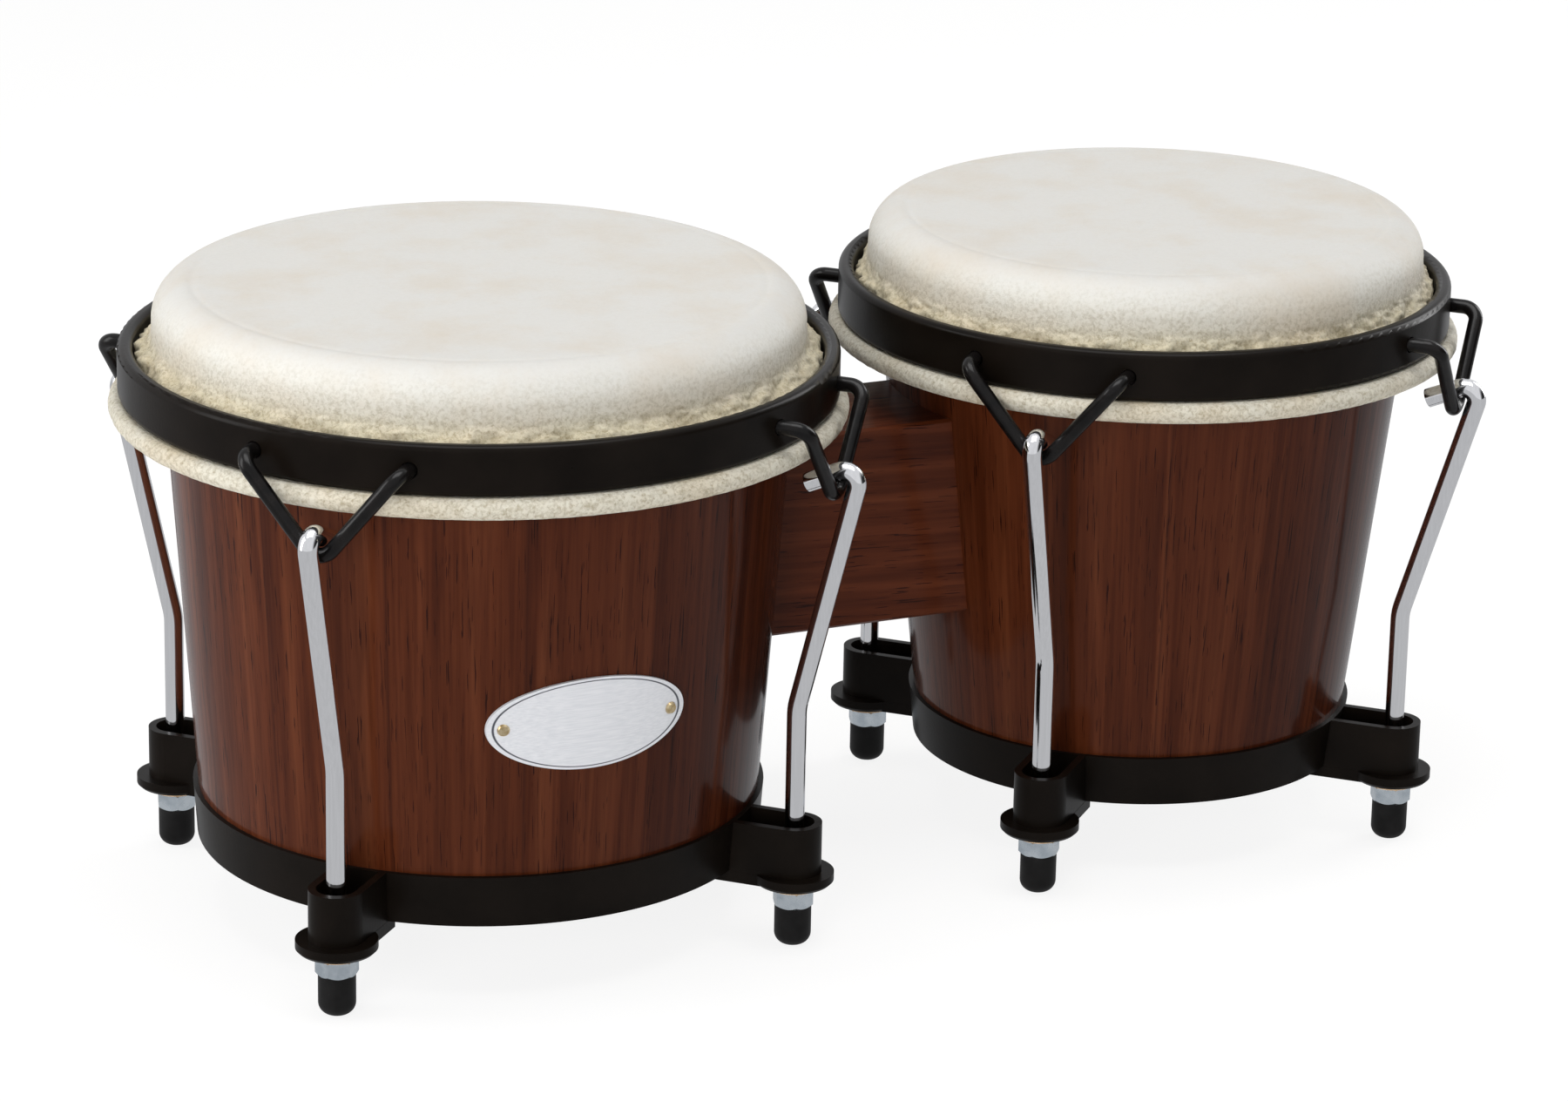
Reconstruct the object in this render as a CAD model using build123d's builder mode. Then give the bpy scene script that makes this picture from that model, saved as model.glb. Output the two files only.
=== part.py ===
from build123d import *
import os
from math import atan2, cos, pi, radians, sin, sqrt, tan

os.makedirs("parts", exist_ok=True)

# Bongo drums: a large and a small wooden drum joined by a block. Millimetres, +Z up.
# The feet stand on z = 0, the drums lie along X and the badge faces -Y.

# --- overall sizes ---------------------------------------------------------------
SHELL_HEIGHT = 151.2        # from the end grain to the top of the bearing edge
LARGE_HEAD_RADIUS = 85.7    # a 6 3/4 inch head, at the bearing edge
SMALL_HEAD_RADIUS = 76.2    # a 6 inch head
LARGE_TAPER = 10.1          # how much less the shell's radius is at its bottom
SMALL_TAPER = 16.0
LARGE_RIM_ROOM = 5.0        # between the skin's side and the steel rim
SMALL_RIM_ROOM = 3.9
LARGE_ROD_STANDOFF = 16.7   # axis of a rod's threaded end, outside the shell's bottom
SMALL_ROD_STANDOFF = 18.8
DRUM_GAP = 12.2             # between the two skins' rolled edges

# --- feet, nuts and lugs, from the floor up --------------------------------------
CAP_HEIGHT = 11.2
CAP_WALL = 1.1              # rubber round the nut's collar
CAP_FLOOR = 3.2             # rubber under the nut's collar
CAP_TREAD_RADIUS = 1.6      # flat that stands on the floor
NUT_HEIGHT = 5.0            # hexagon
NUT_FLATS = 10.0            # across flats
NUT_COLLAR_WALL = 1.25      # of the round collar that carries the rubber cap
NUT_CHAMFER = 0.7
WASHER_THICKNESS = 1.6
WASHER_RADIUS = 6.6
PLATE_THICKNESS = 3.2
PLATE_LIP = 3.45            # plate beyond the strap's outside
PLATE_TONGUE_LIP = 0.05     # the same where the plate runs in under the ring
PLATE_EDGE = 0.9
STRAP_WIDTH = 14.9          # outside
STRAP_WALL = 2.1

# --- bottom ring ------------------------------------------------------------------
RING_HEIGHT = 14.0
RING_WALL = 1.4
RING_FLANGE_THICKNESS = 1.8
RING_FLANGE_WIDTH = 7.0

# --- shells -----------------------------------------------------------------------
SHELL_WALL = 9.5
EDGE_LAND = 0.9             # of the wall that the bearing edge's outer round leaves
INNER_EDGE_CHAMFER = 0.6

# --- heads ------------------------------------------------------------------------
SKIN_THICKNESS = 1.2
SKIN_GAP = 0.3              # between the skin and the shell
ROLL_DROP = 28.8            # bearing edge down to the skin's roll, where the rim sits
ROLL_HEIGHT = 6.2
ROLL_OVERHANG = 2.8         # roll beyond the rim's outside
ROLL_FLARE = 2.6            # radius where the skin turns out into its roll
HOOP_WIDTH = 6.4
HOOP_HEIGHT = 3.2
HOOP_ROUND = 1.2
HOOP_COVER = 1.8            # skin outside the hoop

# --- rims and their links ---------------------------------------------------------
RIM_WALL = 4.2
RIM_HEIGHT = 13.6
RIM_EDGE_ROUND = 1.7
WIRE_RADIUS = 2.0
LINK_HALF_SPAN = 21.5       # from a lug's plane to each of its two rim holes
LINK_HOLE_CLEARANCE = 0.25
LINK_ROLL_GAP = 0.5         # between the wire and the skin's roll, which it hangs over
LINK_DROP = 23.0            # rim hole down to the lowest point of the V, at wire's centre
LINK_KNEE_INSIDE = 2.2      # inside radius of the bend outside the rim
LINK_HEAD_LIP = 1.0         # upset end inside the rim, beyond the wire
LINK_HEAD_THICKNESS = 1.1
LINK_HEAD_GAP = 0.15

# --- hook rods --------------------------------------------------------------------
ROD_RADIUS = 2.65
ROD_END_ROOM = 1.2          # from the rubber's floor to the threaded end
ROD_END_CHAMFER = 0.5
KINK_RISE = 32.5            # from the ring's top
KINK_ROUND = 16.0
HOOK_SEAT = 0.5             # straight tip between the link and the hook's bend
HOOK_INREACH = 2.4          # tip of the hook inside the rim's outside
HOOK_SLOPE = 24.0           # degrees the tip falls towards the drum
HOOK_INSIDE = 0.75          # inside radius of the hook's bend
HOOK_GAP = 0.15             # between the hook and the link it pulls
THREAD_CLEARANCE = 0.05     # running fit of the rod in its nut
ROD_HOLE_CLEARANCE = 0.35   # in the washer and the plate

# --- centre block and its bolts ---------------------------------------------------
BLOCK_DEPTH = 40.6
BLOCK_HEIGHT = 56.6
BLOCK_DROP = 11.4           # from the skin's roll down to the block's top
BLOCK_EDGE = 0.8
BOLT_INSET_LOW = 14.0       # from the block's bottom
BOLT_INSET_HIGH = 14.6      # from the block's top
BOLT_RADIUS = 3.0
BOLT_HOLE_RADIUS = 3.3
BOLT_HEAD_RADIUS = 5.6
BOLT_HEAD_HEIGHT = 3.4
BOLT_HEAD_ROUND = 1.4
BOLT_BITE = 7.5             # how much longer the shank is than the shell is thick
BOLT_SOCKET_FLATS = 4.0
BOLT_SOCKET_DEPTH = 2.0
BOLT_WASHER_RADIUS = 7.2
BOLT_WASHER_THICKNESS = 1.4
SPOT_FACE_RADIUS = 8.2
SPOT_FACE_SINK = 0.3        # cut into the highest part of the inner wall
INSERT_RADIUS = 5.0
INSERT_LENGTH = 11.0
INSERT_SINK = 3.0           # below the block's end on the drums' centre line
BOLT_TIP_ROOM = 2.0         # drilling beyond the bolt's end

# --- badge ------------------------------------------------------------------------
BADGE_WIDTH = 55.5
BADGE_HEIGHT = 25.4
BADGE_THICKNESS = 0.9
BADGE_RISE = 42.0           # from the ring's top to the badge's middle
RIVET_OFFSET = 23.2
RIVET_HEAD_RADIUS = 1.7
RIVET_HEAD_HEIGHT = 0.7
RIVET_SHANK_RADIUS = 0.8
RIVET_SEAT_GAP = 0.02
RIVET_SHANK_LENGTH = 5.0

# --- worked out -------------------------------------------------------------------
NUT_TOP = CAP_HEIGHT + NUT_HEIGHT
PLATE_BOTTOM = NUT_TOP + WASHER_THICKNESS
RING_BOTTOM = PLATE_BOTTOM + PLATE_THICKNESS
RING_TOP = RING_BOTTOM + RING_HEIGHT
SHELL_BOTTOM = RING_BOTTOM + RING_FLANGE_THICKNESS
SHELL_TOP = SHELL_BOTTOM + SHELL_HEIGHT
EDGE_ROUND = SHELL_WALL - EDGE_LAND
EDGE_SIDE = SHELL_TOP - EDGE_ROUND                  # where the round meets the side
LARGE_BASE_RADIUS = LARGE_HEAD_RADIUS - LARGE_TAPER
SMALL_BASE_RADIUS = SMALL_HEAD_RADIUS - SMALL_TAPER
LARGE_RIM_RADIUS = LARGE_HEAD_RADIUS + SKIN_GAP + SKIN_THICKNESS + LARGE_RIM_ROOM + RIM_WALL
SMALL_RIM_RADIUS = SMALL_HEAD_RADIUS + SKIN_GAP + SKIN_THICKNESS + SMALL_RIM_ROOM + RIM_WALL
LARGE_ROD_CIRCLE = LARGE_BASE_RADIUS + LARGE_ROD_STANDOFF
SMALL_ROD_CIRCLE = SMALL_BASE_RADIUS + SMALL_ROD_STANDOFF
AXIS_SPACING = LARGE_RIM_RADIUS + SMALL_RIM_RADIUS + 2 * ROLL_OVERHANG + DRUM_GAP
ROLL_TOP = SHELL_TOP - ROLL_DROP
RIM_TOP = ROLL_TOP + RIM_HEIGHT
LINK_HOLE_HEIGHT = ROLL_TOP + RIM_HEIGHT / 2
ROLL_BOTTOM = ROLL_TOP - ROLL_HEIGHT
LINK_STANDOFF = ROLL_OVERHANG + LINK_ROLL_GAP + WIRE_RADIUS    # the V's plane, off the rim
LINK_APEX_HEIGHT = LINK_HOLE_HEIGHT - LINK_DROP
LINK_APEX_ROUND = WIRE_RADIUS + ROD_RADIUS + HOOK_GAP
LINK_KNEE_ROUND = WIRE_RADIUS + LINK_KNEE_INSIDE
LINK_HEAD_RADIUS = WIRE_RADIUS + LINK_HEAD_LIP
ROD_HOLE_RADIUS = ROD_RADIUS + ROD_HOLE_CLEARANCE
ROD_END_HEIGHT = CAP_FLOOR + ROD_END_ROOM
KINK_HEIGHT = RING_TOP + KINK_RISE
HOOK_ROUND = ROD_RADIUS + HOOK_INSIDE
NUT_COLLAR_RADIUS = ROD_RADIUS + NUT_COLLAR_WALL
CAP_RADIUS = NUT_COLLAR_RADIUS + CAP_WALL
PLATE_RADIUS = STRAP_WIDTH / 2 + PLATE_LIP
PLATE_TONGUE_WIDTH = STRAP_WIDTH + 2 * PLATE_TONGUE_LIP
BLOCK_TOP = ROLL_BOTTOM - BLOCK_DROP
BLOCK_BOTTOM = BLOCK_TOP - BLOCK_HEIGHT
BOLT_HEIGHTS = (BLOCK_BOTTOM + BOLT_INSET_LOW, BLOCK_TOP - BOLT_INSET_HIGH)
BOLT_REACH = SHELL_WALL + BOLT_BITE                 # shank from the shell's spot face
BADGE_CENTRE = RING_TOP + BADGE_RISE
CENTRE_SHIFT = (LARGE_RIM_RADIUS - SMALL_RIM_RADIUS) / 2   # puts x = 0 midway along the pair
LUG_ANGLES = (-135.0, -45.0, 45.0, 135.0)           # front left, front right, and back


class Drum:
    """The sizes of one drum and where its axis stands."""

    def __init__(self, name, side, head_radius, base_radius, rim_radius, rod_circle):
        self.name = name
        self.side = side                            # -1 on the left, +1 on the right
        self.x = side * AXIS_SPACING / 2 + CENTRE_SHIFT
        self.head_radius = head_radius
        self.base_radius = base_radius
        self.rim_radius = rim_radius
        self.rod_circle = rod_circle
        self.skin_inside = head_radius + SKIN_GAP
        self.skin_outside = self.skin_inside + SKIN_THICKNESS

    def outside(self, height):
        """Radius of the shell's outer cone at a height."""
        share = (height - SHELL_BOTTOM) / (EDGE_SIDE - SHELL_BOTTOM)
        return self.base_radius + share * (self.head_radius - self.base_radius)

    def axis_plane(self):
        """Upright plane through the drum's axis, for its revolved profiles."""
        return Plane(origin=(self.x, 0, 0), x_dir=(1, 0, 0), z_dir=(0, -1, 0))

    def lug_plane(self, angle):
        """Upright plane through the axis and one lug: x outwards, y up."""
        outwards = Vector(cos(radians(angle)), sin(radians(angle)), 0)
        return Plane(origin=(self.x, 0, 0), x_dir=outwards, z_dir=outwards.cross(Vector(0, 0, 1)))

    def lug_point(self, angle, out, across, height):
        """A point from its distances out along a lug's plane, across it and up."""
        c, s = cos(radians(angle)), sin(radians(angle))
        return (self.x + out * c - across * s, out * s + across * c, height)

    def axis_plane_at(self, angle):
        """Upright plane through a rod's own axis, for its nut's and cap's profiles."""
        return self.lug_plane(angle).shift_origin(self.lug_point(angle, self.rod_circle, 0, 0))

    def lug_level(self, angle, out, height):
        """Horizontal plane at a lug, x outwards from the drum."""
        outwards = (cos(radians(angle)), sin(radians(angle)), 0)
        return Plane(origin=self.lug_point(angle, out, 0, height), x_dir=outwards)


LARGE = Drum("large", -1, LARGE_HEAD_RADIUS, LARGE_BASE_RADIUS, LARGE_RIM_RADIUS, LARGE_ROD_CIRCLE)
SMALL = Drum("small", 1, SMALL_HEAD_RADIUS, SMALL_BASE_RADIUS, SMALL_RIM_RADIUS, SMALL_ROD_CIRCLE)


def save(part, name):
    """Label a finished piece and write its STEP file."""
    part.label = name
    export_step(part, f"parts/{name}.step")


def spot_face(drum, height):
    """Distance from the axis of the flat under a bolt head, inside the shell."""
    return drum.outside(height + SPOT_FACE_RADIUS) - SHELL_WALL + SPOT_FACE_SINK


def block_end(drum, height):
    """Distance from the drum's axis of the block's end, on the centre line."""
    return drum.outside(height)


def bolt_plane(drum, height, reach):
    """Plane across a bolt, its normal pointing from the drum into the block."""
    return Plane(origin=(drum.x - drum.side * reach, 0, height), z_dir=(-drum.side, 0, 0))


def rivet_planes():
    """Planes at the badge's two rivets, each square to the shell's cone."""
    planes = []
    radius = LARGE.outside(BADGE_CENTRE)
    slope = LARGE.outside(BADGE_CENTRE + 1) - radius
    for offset in (-RIVET_OFFSET, RIVET_OFFSET):
        depth = sqrt(radius**2 - offset**2)
        normal = Vector(offset, -depth, -slope * radius)
        planes.append(Plane(origin=(LARGE.x + offset, -depth, BADGE_CENTRE), z_dir=normal))
    return planes


# --- shells -----------------------------------------------------------------------
def make_shell(drum):
    """A tapered wooden shell with a rounded bearing edge and its bolt holes."""
    with BuildPart() as shell:
        with BuildSketch(drum.axis_plane()):
            with BuildLine():
                bottom_out = (drum.base_radius, SHELL_BOTTOM)
                side_top = (drum.head_radius, EDGE_SIDE)
                crest = (drum.head_radius - EDGE_ROUND, SHELL_TOP)
                inner_crest = (drum.head_radius - SHELL_WALL, SHELL_TOP - INNER_EDGE_CHAMFER)
                inner_side = (drum.head_radius - SHELL_WALL, EDGE_SIDE)
                bottom_in = (drum.base_radius - SHELL_WALL, SHELL_BOTTOM)
                Line(bottom_out, side_top)
                RadiusArc(side_top, crest, -EDGE_ROUND)
                Polyline(crest, inner_crest, inner_side, bottom_in, bottom_out)
            make_face()
        revolve(axis=Axis((drum.x, 0, 0), (0, 0, 1)))
        for height in BOLT_HEIGHTS:
            face = spot_face(drum, height)
            with BuildSketch(bolt_plane(drum, height, face)):
                Circle(BOLT_HOLE_RADIUS)
            extrude(amount=2 * SHELL_WALL, mode=Mode.SUBTRACT)
            with BuildSketch(bolt_plane(drum, height, face)):
                Circle(SPOT_FACE_RADIUS)
            extrude(amount=-SHELL_WALL, mode=Mode.SUBTRACT)
        if drum is LARGE:
            for plane in rivet_planes():
                with BuildSketch(plane):
                    Circle(RIVET_SHANK_RADIUS)
                extrude(amount=RIVET_SHANK_LENGTH, both=True, mode=Mode.SUBTRACT)
    save(shell.part, f"{drum.name}_shell")


# --- heads ------------------------------------------------------------------------
def hoop_centre(drum):
    """Radius of the middle of the flesh hoop's section."""
    return drum.rim_radius + ROLL_OVERHANG - HOOP_COVER - HOOP_WIDTH / 2


def make_head(drum):
    """The skin: a flat top, a rounded shoulder, a straight side and a rolled edge."""
    top = SHELL_TOP + SKIN_GAP + SKIN_THICKNESS
    inner_round = EDGE_ROUND + SKIN_GAP
    outer_round = inner_round + SKIN_THICKNESS
    flat = drum.head_radius - EDGE_ROUND
    roll_round = ROLL_HEIGHT / 2
    roll_end = drum.rim_radius + ROLL_OVERHANG - roll_round
    with BuildPart() as skin:
        with BuildSketch(drum.axis_plane()):
            with BuildLine():
                Line((0, top), (flat, top))
                RadiusArc((flat, top), (drum.skin_outside, top - outer_round), outer_round)
                flare_start = (drum.skin_outside, ROLL_TOP + ROLL_FLARE)
                flare_end = (drum.skin_outside + ROLL_FLARE, ROLL_TOP)
                Line((drum.skin_outside, top - outer_round), flare_start)
                RadiusArc(flare_start, flare_end, -ROLL_FLARE)
                Line(flare_end, (roll_end, ROLL_TOP))
                nose = (roll_end + roll_round, ROLL_TOP - roll_round)
                ThreePointArc((roll_end, ROLL_TOP), nose, (roll_end, ROLL_BOTTOM))
                shoulder = (drum.skin_inside, SHELL_TOP + SKIN_GAP - inner_round)
                under_top = (flat, SHELL_TOP + SKIN_GAP)
                Polyline((roll_end, ROLL_BOTTOM), (drum.skin_inside, ROLL_BOTTOM), shoulder)
                RadiusArc(shoulder, under_top, -inner_round)
                Polyline(under_top, (0, SHELL_TOP + SKIN_GAP), (0, top))
            make_face()
        revolve(axis=Axis((drum.x, 0, 0), (0, 0, 1)))
        with BuildSketch(drum.axis_plane()):
            with Locations((hoop_centre(drum), ROLL_TOP - roll_round)):
                RectangleRounded(HOOP_WIDTH, HOOP_HEIGHT, HOOP_ROUND)
        revolve(axis=Axis((drum.x, 0, 0), (0, 0, 1)), mode=Mode.SUBTRACT)
    save(skin.part, f"{drum.name}_head_skin")

    with BuildPart() as hoop:
        with BuildSketch(drum.axis_plane()):
            with Locations((hoop_centre(drum), ROLL_TOP - roll_round)):
                RectangleRounded(HOOP_WIDTH, HOOP_HEIGHT, HOOP_ROUND)
        revolve(axis=Axis((drum.x, 0, 0), (0, 0, 1)))
    save(hoop.part, f"{drum.name}_flesh_hoop")


def make_rim(drum):
    """The steel rim on the skin's roll, bored for two wires at each lug."""
    inside = drum.rim_radius - RIM_WALL
    with BuildPart() as rim:
        with BuildSketch(drum.axis_plane()) as section:
            with Locations((inside + RIM_WALL / 2, LINK_HOLE_HEIGHT)):
                Rectangle(RIM_WALL, RIM_HEIGHT)
            fillet(section.vertices().group_by(Axis.Z)[-1], RIM_EDGE_ROUND)
        revolve(axis=Axis((drum.x, 0, 0), (0, 0, 1)))
        for angle in LUG_ANGLES:
            for across in (-LINK_HALF_SPAN, LINK_HALF_SPAN):
                start = drum.lug_point(angle, 0, across, LINK_HOLE_HEIGHT)
                outwards = drum.lug_plane(angle).x_dir
                with BuildSketch(Plane(origin=start, z_dir=outwards)):
                    Circle(WIRE_RADIUS + LINK_HOLE_CLEARANCE)
                extrude(amount=drum.rim_radius + RIM_WALL, mode=Mode.SUBTRACT)
    save(rim.part, f"{drum.name}_rim")


def link_inner_end(drum):
    """Distance out of the inner face of a link's upset head."""
    inside = drum.rim_radius - RIM_WALL
    edge = sqrt(inside**2 - (LINK_HALF_SPAN + LINK_HEAD_RADIUS) ** 2)
    return edge - LINK_HEAD_GAP - LINK_HEAD_THICKNESS


def link_vertex_height():
    """Height where the two arms' centre lines would cross below the rounded apex."""
    drop = LINK_HOLE_HEIGHT - LINK_APEX_HEIGHT
    for _ in range(8):
        half_angle = atan2(LINK_HALF_SPAN, drop)
        drop = LINK_HOLE_HEIGHT - LINK_APEX_HEIGHT + LINK_APEX_ROUND * (1 / sin(half_angle) - 1)
    return LINK_HOLE_HEIGHT - drop


def make_link(drum, number, angle):
    """A V of wire: headed inside the rim, out through two holes and down to its apex."""
    plane_out = drum.rim_radius + LINK_STANDOFF
    start = link_inner_end(drum)
    route = [
        drum.lug_point(angle, start, -LINK_HALF_SPAN, LINK_HOLE_HEIGHT),
        drum.lug_point(angle, plane_out, -LINK_HALF_SPAN, LINK_HOLE_HEIGHT),
        drum.lug_point(angle, plane_out, 0, link_vertex_height()),
        drum.lug_point(angle, plane_out, LINK_HALF_SPAN, LINK_HOLE_HEIGHT),
        drum.lug_point(angle, start, LINK_HALF_SPAN, LINK_HOLE_HEIGHT),
    ]
    with BuildPart() as link:
        with BuildLine():
            wire = FilletPolyline(*route, radius=[LINK_KNEE_ROUND, LINK_APEX_ROUND, LINK_KNEE_ROUND])
        with BuildSketch(Plane(origin=wire @ 0, z_dir=wire % 0)):
            Circle(WIRE_RADIUS)
        sweep()
        outwards = drum.lug_plane(angle).x_dir
        for end in (route[0], route[-1]):
            with BuildSketch(Plane(origin=end, z_dir=outwards)):
                Circle(LINK_HEAD_RADIUS)
            extrude(amount=LINK_HEAD_THICKNESS)
    save(link.part, f"{drum.name}_rim_link_{number}")


def hook_height(drum, out):
    """Height of the hook's straight tip, on its centre line, at a distance out."""
    slope = radians(HOOK_SLOPE)
    rest = LINK_APEX_HEIGHT + (WIRE_RADIUS + HOOK_GAP + ROD_RADIUS) / cos(slope)
    return rest + (out - drum.rim_radius - LINK_STANDOFF) * sin(slope) / cos(slope)


def hook_corner(drum):
    """Distance out where the leg's and the tip's centre lines cross, for the hook's bend."""
    slope = radians(HOOK_SLOPE)
    seat = drum.rim_radius + LINK_STANDOFF + WIRE_RADIUS * sin(slope) + HOOK_SEAT
    corner = seat
    for _ in range(8):
        leg_out = corner - drum.rod_circle
        leg_up = hook_height(drum, corner) - KINK_HEIGHT
        half_turn = (pi / 2 + slope + atan2(leg_out, leg_up)) / 2
        corner = seat + HOOK_ROUND * tan(half_turn) * cos(slope)
    return corner


def make_rod(drum, number, angle):
    """A rod: threaded end, straight foot, outward leg and a hook over the link's apex."""
    corner = hook_corner(drum)
    tip = drum.rim_radius - HOOK_INREACH
    with BuildPart() as rod:
        with BuildLine(drum.lug_plane(angle)):
            FilletPolyline(
                (drum.rod_circle, ROD_END_HEIGHT),
                (drum.rod_circle, KINK_HEIGHT),
                (corner, hook_height(drum, corner)),
                (tip, hook_height(drum, tip)),
                radius=[KINK_ROUND, HOOK_ROUND],
            )
        with BuildSketch(drum.lug_level(angle, drum.rod_circle, ROD_END_HEIGHT)):
            Circle(ROD_RADIUS)
        sweep()
        end = rod.edges().filter_by(GeomType.CIRCLE).sort_by(Axis.Z)[0]
        chamfer(end, ROD_END_CHAMFER)
    save(rod.part, f"{drum.name}_hook_rod_{number}")


# --- bottom ring and lugs ---------------------------------------------------------
def make_ring(drum):
    """A band round the foot of the shell with a flange under its end grain."""
    with BuildPart() as ring:
        with BuildSketch(drum.axis_plane()):
            with BuildLine():
                Polyline(
                    (drum.outside(RING_BOTTOM) + RING_WALL, RING_BOTTOM),
                    (drum.outside(RING_TOP) + RING_WALL, RING_TOP),
                    (drum.outside(RING_TOP), RING_TOP),
                    (drum.base_radius, SHELL_BOTTOM),
                    (drum.base_radius - RING_FLANGE_WIDTH, SHELL_BOTTOM),
                    (drum.base_radius - RING_FLANGE_WIDTH, RING_BOTTOM),
                    close=True,
                )
            make_face()
        revolve(axis=Axis((drum.x, 0, 0), (0, 0, 1)))
    save(ring.part, f"{drum.name}_bottom_ring")


def make_straps(drum):
    """Four U-shaped straps from the ring, each round one rod."""
    half = STRAP_WIDTH / 2
    inner = half - STRAP_WALL
    inwards = drum.rod_circle - drum.base_radius + half
    with BuildPart() as straps:
        for angle in LUG_ANGLES:
            with BuildSketch(drum.lug_level(angle, drum.rod_circle, RING_BOTTOM)):
                Circle(half)
                with Locations((-inwards / 2, 0)):
                    Rectangle(inwards, 2 * half)
                Circle(inner, mode=Mode.SUBTRACT)
                with Locations((-inwards / 2, 0)):
                    Rectangle(inwards, 2 * inner, mode=Mode.SUBTRACT)
            extrude(amount=RING_HEIGHT)
        with BuildSketch(drum.axis_plane()):
            with BuildLine():
                Polyline(
                    (0, RING_BOTTOM),
                    (drum.outside(RING_BOTTOM) + RING_WALL, RING_BOTTOM),
                    (drum.outside(RING_TOP) + RING_WALL, RING_TOP),
                    (0, RING_TOP),
                    close=True,
                )
            make_face()
        revolve(axis=Axis((drum.x, 0, 0), (0, 0, 1)), mode=Mode.SUBTRACT)
    save(straps.part, f"{drum.name}_lug_straps")


def make_plates(drum):
    """Four flared plates under the straps, run in under the ring."""
    inwards = drum.rod_circle - drum.base_radius + RING_FLANGE_WIDTH / 2
    with BuildPart() as plates:
        for angle in LUG_ANGLES:
            with BuildSketch(drum.lug_level(angle, drum.rod_circle, PLATE_BOTTOM)):
                Circle(PLATE_RADIUS)
                with Locations((-inwards / 2, 0)):
                    Rectangle(inwards, PLATE_TONGUE_WIDTH)
            extrude(amount=PLATE_THICKNESS)
        lower_edges = plates.edges().group_by(Axis.Z)[0]
        chamfer(lower_edges.filter_by(GeomType.CIRCLE), PLATE_EDGE)
        for angle in LUG_ANGLES:
            with BuildSketch(drum.lug_level(angle, drum.rod_circle, PLATE_BOTTOM)):
                Circle(ROD_HOLE_RADIUS)
            extrude(amount=PLATE_THICKNESS, mode=Mode.SUBTRACT)
    save(plates.part, f"{drum.name}_lug_plates")


def make_rod_washers(drum):
    """Four washers between the plates and the nuts."""
    with BuildPart() as washers:
        for angle in LUG_ANGLES:
            with BuildSketch(drum.lug_level(angle, drum.rod_circle, NUT_TOP)):
                Circle(WASHER_RADIUS)
                Circle(ROD_HOLE_RADIUS, mode=Mode.SUBTRACT)
            extrude(amount=WASHER_THICKNESS)
    save(washers.part, f"{drum.name}_rod_washers")


def make_nut(drum, number, angle):
    """A hexagonal nut with a round collar below it for the rubber cap."""
    hexagon = NUT_FLATS / sqrt(3)
    with BuildPart() as nut:
        with BuildSketch(drum.lug_level(angle, drum.rod_circle, CAP_HEIGHT)):
            RegularPolygon(hexagon, 6)
        extrude(amount=NUT_HEIGHT)
        with BuildSketch(drum.axis_plane_at(angle)):
            with BuildLine():
                Polyline(
                    (0, CAP_HEIGHT),
                    (NUT_FLATS / 2, CAP_HEIGHT),
                    (hexagon, CAP_HEIGHT + NUT_CHAMFER),
                    (hexagon, NUT_TOP - NUT_CHAMFER),
                    (NUT_FLATS / 2, NUT_TOP),
                    (0, NUT_TOP),
                    close=True,
                )
            make_face()
        axis = Axis(drum.lug_point(angle, drum.rod_circle, 0, 0), (0, 0, 1))
        revolve(axis=axis, mode=Mode.INTERSECT)
        with BuildSketch(drum.lug_level(angle, drum.rod_circle, CAP_FLOOR)):
            Circle(NUT_COLLAR_RADIUS)
        extrude(amount=CAP_HEIGHT - CAP_FLOOR)
        with BuildSketch(drum.lug_level(angle, drum.rod_circle, CAP_FLOOR)):
            Circle(ROD_RADIUS + THREAD_CLEARANCE)
        extrude(amount=NUT_TOP - CAP_FLOOR, mode=Mode.SUBTRACT)
    save(nut.part, f"{drum.name}_tuning_nut_{number}")


def make_cap(drum, number, angle):
    """A domed rubber cap pushed over the nut's collar."""
    dome = CAP_RADIUS - CAP_TREAD_RADIUS
    with BuildPart() as cap:
        with BuildSketch(drum.axis_plane_at(angle)):
            with BuildLine():
                Polyline(
                    (CAP_TREAD_RADIUS, 0),
                    (0, 0),
                    (0, CAP_FLOOR),
                    (NUT_COLLAR_RADIUS, CAP_FLOOR),
                    (NUT_COLLAR_RADIUS, CAP_HEIGHT),
                    (CAP_RADIUS, CAP_HEIGHT),
                    (CAP_RADIUS, dome),
                )
                RadiusArc((CAP_RADIUS, dome), (CAP_TREAD_RADIUS, 0), dome)
            make_face()
        revolve(axis=Axis(drum.lug_point(angle, drum.rod_circle, 0, 0), (0, 0, 1)))
    save(cap.part, f"{drum.name}_foot_cap_{number}")


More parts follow.
